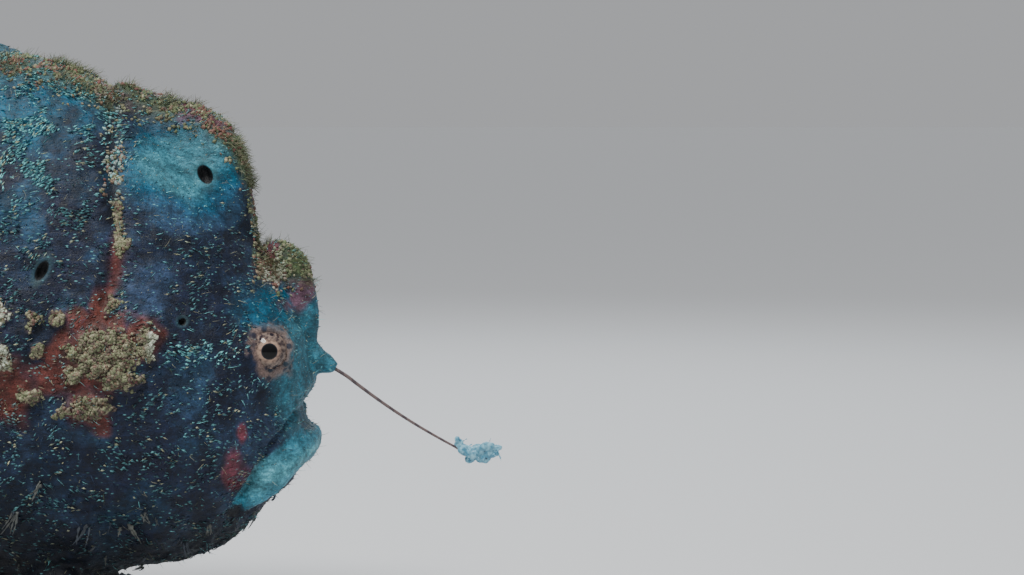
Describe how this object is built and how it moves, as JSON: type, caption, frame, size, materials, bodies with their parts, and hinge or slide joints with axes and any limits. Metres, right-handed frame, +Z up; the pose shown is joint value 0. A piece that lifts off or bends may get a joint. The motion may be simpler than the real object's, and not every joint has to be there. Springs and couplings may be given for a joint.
{
  "type": "painted frogfish model",
  "caption": "Life-size still frogfish resting on its paired fins, with upturned mouth and a fishing lure held out in front.",
  "frame": {"origin": "on the floor, under the middle of the model's length and width", "axes": "+X towards the nose, +Y towards the fish's left side, +Z up"},
  "size_m": [0.236, 0.1144, 0.1284],
  "materials": {
    "skin_dark": "matte mottled skin",
    "skin_blue": "matte mottled skin",
    "lip": "smooth moist skin",
    "crust": "rough tufted skin",
    "fin": "matte ribbed skin",
    "eye": "wet gloss",
    "lure": "pale translucent skin",
    "rod": "fine skin-covered ray"
  },
  "bodies": {
    "root": {"head": "skin_dark", "lower_jaw": "lip", "trunk": "skin_dark", "tail_stalk": "skin_dark", "second_dorsal_spine": "crust", "third_dorsal_spine": "skin_blue", "illicium": "rod", "esca": "lure", "dorsal_fin": "fin", "tail_fin": "fin", "anal_fin": "fin", "eye_right": "eye", "eye_left": "eye", "pectoral_arm_right": "skin_dark", "pectoral_arm_left": "skin_dark", "pectoral_fin_right": "fin", "pectoral_fin_left": "fin", "pelvic_arm_right": "skin_dark", "pelvic_arm_left": "skin_dark", "pelvic_fin_right": "fin", "pelvic_fin_left": "fin"}
  },
  "joints": []
}
